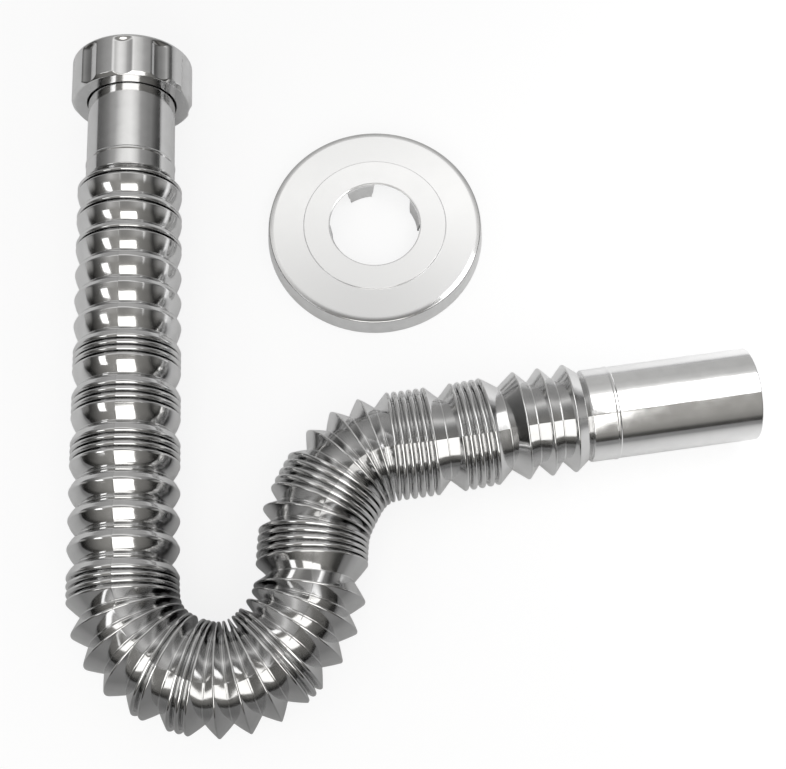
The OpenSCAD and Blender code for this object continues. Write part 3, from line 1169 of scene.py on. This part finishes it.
@dataclass
class WallPlate:
    """The loose wall plate: a pressed dish with a stepped collar, a rolled rim and four tabs."""

    radius: float = 50.4
    height: float = 11.4
    sheet: float = 0.9
    step_r: float = 33.0
    hole_r: float = 21.0
    around: int = 200
    grip_r: float = 19.9
    tabs: int = 4
    tab_sheet: float = 0.8
    tab_angle: float = 38.0
    tab_from: float = 107.0
    tab_root: float = 1.08
    tab_taper: float = 0.3
    taper_rate: float = 1.3
    tab_rows: int = 26
    tab_cols: int = 21

    def tab(self, axis: Axis, middle: float) -> Shell:
        """One spring tab: a sheet that slants inwards from the hole's edge and ends in a lip.

        The sheet's middle line is a smooth path of height and radius: straight pieces, averaged
        over five rows. Its half width narrows from root to lip, and the two faces lie half a sheet
        either side of it.

        Args:
            axis: The plate's upright axis.
            middle: The tab's middle angle in degrees.

        Returns:
            The tab's closed shell.
        """
        top, hole, grip = self.height, self.hole_r, self.grip_r
        path = np.array([
            [top - 0.45, hole + 0.9], [top - 0.75, hole + 0.25], [top - 1.5, hole + 0.05],
            [5.2, grip + 0.65], [3.6, grip + 0.42], [1.6, grip + 0.42], [1.0, grip + 0.5],
        ])
        s = np.linspace(0, 1, self.tab_rows)
        z, r = (np.interp(s, np.linspace(0, 1, len(path)), path[:, k]) for k in (0, 1))
        r = np.convolve(np.pad(r, 2, mode="edge"), np.ones(5) / 5, "valid")
        dz, dr = np.gradient(z), np.gradient(r)
        size = np.hypot(dz, dr)
        share = self.tab_root - self.tab_taper * np.clip(s * self.taper_rate, 0, 1)
        wide = math.radians(self.tab_angle / 2) * share
        v = np.linspace(-1, 1, self.tab_cols)[None, :]
        angle = math.radians(middle) + wide[:, None] * v
        faces = []
        for side in (self.tab_sheet / 2, -self.tab_sheet / 2):
            height = (z + side * (-dr) / size)[:, None] + 0 * v
            radius = (r + side * dz / size)[:, None] + 0 * v
            faces.append(axis.spin(height, radius, angle))
        rows, cols = angle.shape
        n = rows * cols
        number = np.arange(n).reshape(rows, cols)
        rim = np.concatenate([number[0], number[1:, -1], number[-1, -2::-1], number[-2:0:-1, 0]])
        after = np.roll(rim, -1)
        quads = np.vstack([
            grid_quads(rows, cols, False, False),
            grid_quads(rows, cols, False, False, n)[:, ::-1],
            np.stack([after, rim, rim + n, after + n], 1),
        ])
        face = grid_normals(faces[0], False, False)
        shell = Shell.closed(np.stack(faces), np.stack([face, -face]), quads)
        a, b, c = (shell.points[shell.quads[0, k]] for k in range(3))
        if (np.cross(b - a, c - b) * shell.normals[shell.quads[0, 0]]).sum() < 0:
            shell.normals = -shell.normals
        return shell

    def build(self, axis: Axis, finish: Material) -> None:
        """Turns the dish about its axis and adds the tabs.

        Args:
            axis: The plate's upright axis, from the surface it lies on.
            finish: The plate's material.
        """
        r, top, w = self.radius, self.height, self.sheet
        s, h = self.step_r, self.hole_r
        corners = np.array([
            [0.0, r - w, 0.2],
            [0.0, r, 0.25],
            [top - 4.4, r - 0.55, 2.5],
            [top - 1.6, r - 1.1, 0.7],
            [top - 1.15, r - 3.4, 1.2],
            [top - 0.6, s + 0.25, 0.25],
            [top - 0.12, s - 0.05, 0.25],
            [top, h + 0.6, 0.5],
            [top - 0.25, h, 0.2],
            [top - w, h, 0.2],
            [top - 0.15 - w, s - 0.7, 0.5],
            [top - 0.75 - w, s + 0.1, 0.5],
            [top - 1.25 - w, r - 3.8, 1.0],
            [top - 2.3 - w, r - 1.3 - w, 0.8],
            [top - 4.6, r - 0.55 - w, 1.5],
        ])
        shell = lathe(axis, corners, self.around, 6)
        for k in range(self.tabs):
            shell = shell.plus(self.tab(axis, self.tab_from + 360 / self.tabs * k))
        put_piece("wall_plate", shell, finish, "plate")


# ---------------------------------------------------------------- studio


def look(thing: Object, along: np.ndarray) -> None:
    """Turns a thing so that it looks along a direction."""
    thing.rotation_euler = Vector(along.tolist()).to_track_quat("-Z", "Y").to_euler()


@dataclass(frozen=True)
class SoftBox:
    """A rectangular studio lamp: its middle, what it faces, its size in metres and its brightness.

    Its spread is the whole angle of its beam and its turn goes about the upright, both in degrees.
    """

    name: str
    middle: tuple[float, float, float]
    faces: tuple[float, float, float]
    size: tuple[float, float]
    brightness: float
    tint: Colour = (1.0, 1.0, 1.0)
    spread: float = 180.0
    turn: float = 0.0

    def build(self) -> None:
        """Hangs the lamp; its power is brightness times pi times its area."""
        lamp = bpy.data.lights.new(self.name, "AREA")
        lamp.shape = "RECTANGLE"
        lamp.size, lamp.size_y = self.size
        lamp.energy = self.brightness * math.pi * self.size[0] * self.size[1]
        lamp.color = self.tint
        lamp.spread = math.radians(self.spread)
        thing = bpy.data.objects.new(self.name, lamp)
        bpy.context.scene.collection.objects.link(thing)
        thing.location = self.middle
        look(thing, np.subtract(self.faces, self.middle))
        thing.rotation_euler.z += math.radians(self.turn)


@dataclass
class Studio:
    """The pale floor, the soft lamps, the sky that metal mirrors, and the camera.

    The aim is a place to the right of the hose's start and ahead of it, in millimetres, as the
    camera is turned. The dark span is where along Y the mirrored floor goes from dark to pale. The
    rooms are pairs of the sine of the elevation, or of the direction to the right, and brightness.
    """

    focal_px: float = 1500.67
    width_px: int = 786
    sensor_mm: float = 36.0
    elevation: float = 68.88
    distance: float = 0.6816
    yaw: float = 2.447
    aim: Span = (120.18, -83.26)
    floor_half: float = 4.0
    floor_drop: float = 0.0002
    floor_white: float = 0.9
    glow: float = 1.05
    glow_share: float = 0.8
    mirrored: Span = (0.28, 0.88)
    dark_span: Span = (-0.2, -0.01)
    room_light: float = 0.5
    front_warmth: float = 0.08
    back_warmth: float = 0.02
    turn_span: Span = (-0.25, 0.15)
    front_room: Stops = (
        (-0.1, 0.05), (0.12, 0.06), (0.26, 0.22), (0.5, 0.3), (0.9, 0.36), (1.0, 0.22),
    )
    back_room: Stops = (
        (-0.1, 0.5), (0.1, 0.42), (0.5, 0.42), (0.72, 0.52), (0.86, 1.0), (0.99, 0.28),
    )
    aside: Stops = (
        (-1.0, 1.4), (-0.97, 0.95), (-0.93, 0.18), (-0.84, 0.36), (-0.62, 0.8), (-0.3, 1.05),
        (0.1, 1.2), (0.36, 1.05), (0.5, 0.8), (0.76, 0.6), (0.86, 0.14), (0.92, 0.5), (1.0, 1.3),
    )

    def camera(self, start: np.ndarray) -> None:
        """Places the camera: it looks down at the aim point from its elevation and distance.

        Args:
            start: Where the hose starts, in millimetres, so that the view stays with it.
        """
        cam = bpy.data.cameras.new("camera")
        cam.sensor_width = self.sensor_mm
        cam.lens = self.focal_px / self.width_px * self.sensor_mm
        cam.clip_start, cam.clip_end = 0.01, 50.0
        thing = bpy.data.objects.new("camera", cam)
        bpy.context.scene.collection.objects.link(thing)
        e, y = math.radians(self.elevation), math.radians(self.yaw)
        right, ahead = self.aim
        across = right * math.cos(y) + ahead * math.sin(y)
        along = -right * math.sin(y) + ahead * math.cos(y)
        target = np.array([(across + start[0]) * MM, (along + start[1]) * MM, 0.0])
        back = np.array([-math.sin(y) * math.cos(e), -math.cos(y) * math.cos(e), math.sin(e)])
        thing.location = target + back * self.distance
        look(thing, -back)
        bpy.context.scene.camera = thing

    def floor(self) -> None:
        """Lays a wide plain floor: nearly white to the camera, darker to the front in mirrors."""
        mesh = bpy.data.meshes.new("studio_floor")
        x = self.floor_half
        mesh.from_pydata([(-x, -x, 0), (x, -x, 0), (x, x, 0), (-x, x, 0)], [], [(0, 1, 2, 3)])
        mat = bpy.data.materials.new("studio_floor")
        graph = Graph(mat, empty=True)
        edge = graph.carry(graph.place()["Y"], self.dark_span, self.mirrored)
        matt = graph.add("BsdfDiffuse", {"Color": (*[self.floor_white] * 3, 1)})
        shade = graph.add("BsdfDiffuse", {"Color": edge})
        glow = graph.add("Emission", {"Color": (1, 1, 1, 1), "Strength": self.glow})
        path = graph.add("LightPath").outputs
        share = graph.add("Math", {0: path["Is Camera Ray"], 1: self.glow_share})
        share.operation = "MULTIPLY"
        lit = graph.choose(path["Is Glossy Ray"], matt, shade)
        seen = graph.choose(share.outputs[0], lit, glow)
        graph.add("OutputMaterial", {"Surface": seen.outputs[0]})
        mesh.materials.append(mat)
        floor = bpy.data.objects.new("studio_floor", mesh)
        floor.location.z = -self.floor_drop
        bpy.context.scene.collection.objects.link(floor)

    @staticmethod
    def room(graph: Graph, source: NodeSocket, stops: Stops, warmth: float = 0.0) -> NodeSocket:
        """A brightness ramp over a value from -1 to 1.

        Args:
            graph: The world's nodes.
            source: The value.
            stops: Pairs of value and brightness.
            warmth: How much less blue than red there is.

        Returns:
            The colour.
        """
        half = graph.carry(source, (-1.0, 1.0))
        return graph.ramp(half, [
            ((at + 1) / 2, (v, v * (1 - warmth / 3), v * (1 - warmth))) for at, v in stops
        ])

    def sky(self) -> None:
        """Sets the room: white to the camera, an even grey for light, and a room to mirror.

        The mirrored room is two ramps of elevation, one for the front and one for the back, mixed
        by direction along Y, and multiplied by a ramp of direction along X.
        """
        world = bpy.data.worlds.new("room")
        bpy.context.scene.world = world
        graph = Graph(world, empty=True)
        way = graph.place("Generated")
        front = self.room(graph, way["Z"], self.front_room, self.front_warmth)
        back = self.room(graph, way["Z"], self.back_room, self.back_warmth)
        both = graph.mix(graph.carry(way["Y"], self.turn_span), front, back)
        room = graph.mix(1.0, both, self.room(graph, way["X"], self.aside), "MULTIPLY")
        white = graph.add("Background", {"Color": (1, 1, 1, 1)})
        even = graph.add("Background", {"Color": (1, 1, 1, 1), "Strength": self.room_light})
        mirrored = graph.add("Background", {"Color": room})
        path = graph.add("LightPath").outputs
        inner = graph.choose(path["Is Glossy Ray"], even, mirrored)
        outer = graph.choose(path["Is Camera Ray"], inner, white)
        graph.add("OutputWorld", {"Surface": outer.outputs[0]})

    def lamps(self) -> None:
        """Hangs the lamps: a large one in front, one at the left, a gridded one at the outlet."""
        for box in (
            SoftBox(
                "lamp_front", (-0.02, -0.85, 0.84), (-0.02, -0.2, -0.1), (0.8, 1.0), 1.9,
                tint=(1.0, 0.99, 0.97),
            ),
            SoftBox("lamp_left", (-0.96, -0.42, 0.9), (-0.96, -0.42, 0.0), (0.42, 0.5), 2.1),
            SoftBox(
                "lamp_outlet", (0.3, 0.05, 0.36), (0.3, 0.05, 0.0), (0.34, 0.3), 1.1,
                spread=88.0, turn=10.0,
            ),
        ):
            box.build()

    def build(self, start: np.ndarray) -> None:
        """Sets up the whole studio.

        Args:
            start: Where the hose starts, in millimetres.
        """
        self.camera(start)
        self.floor()
        self.sky()
        self.lamps()
        bpy.context.scene.view_settings.view_transform = "Standard"


def main() -> None:
    """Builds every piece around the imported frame, then the studio, and logs each piece."""
    logging.basicConfig(level=logging.INFO, format="%(name)s %(message)s")
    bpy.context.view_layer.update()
    chrome = ChromePlate().make()
    hose = BellowsHose()
    low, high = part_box("leg_stack_1")
    tube_low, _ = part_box("inlet_tube")
    centre_x = (low[0] + high[0]) / 2 / MM
    hose.seat_on(np.array([centre_x, tube_low[1] / MM - hose.neck, 0.0]))
    log.info("the hose starts at %s", hose.home)
    hose.build(chrome)
    start = hose.axis_at(0)
    inlet = Axis(start.origin, -start.ahead, -start.left, start.up)
    PipeEnd("inlet_tube", "inlet", length=51.5, band=8.7).build(inlet, chrome)
    outlet = PipeEnd("outlet_tube", "outlet", length=73.0, band=11.4)
    outlet.build(hose.axis_at(-1), TubeChrome().make())
    nut = UnionNut()
    nut_low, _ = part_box("union_nut")
    nut_axis = inlet.moved(np.array([inlet.origin[0], nut_low[1] / MM, inlet.origin[2]]))
    nut.build(nut_axis, chrome)
    seat = nut_axis.moved(nut_axis.origin + nut_axis.ahead * nut.shoulder)
    SealWasher().build(seat, SealRubber().make())
    low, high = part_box("wall_plate")
    middle = np.array([(low[0] + high[0]) / 2, (low[1] + high[1]) / 2, 0.0]) / MM
    upright = Axis(middle, *np.array([[0.0, 0, 1], [1, 0, 0], [0, 1, 0]]))
    WallPlate().build(upright, PlateChrome().make())
    Studio().build(hose.home)


if __name__ == "__main__":
    main()
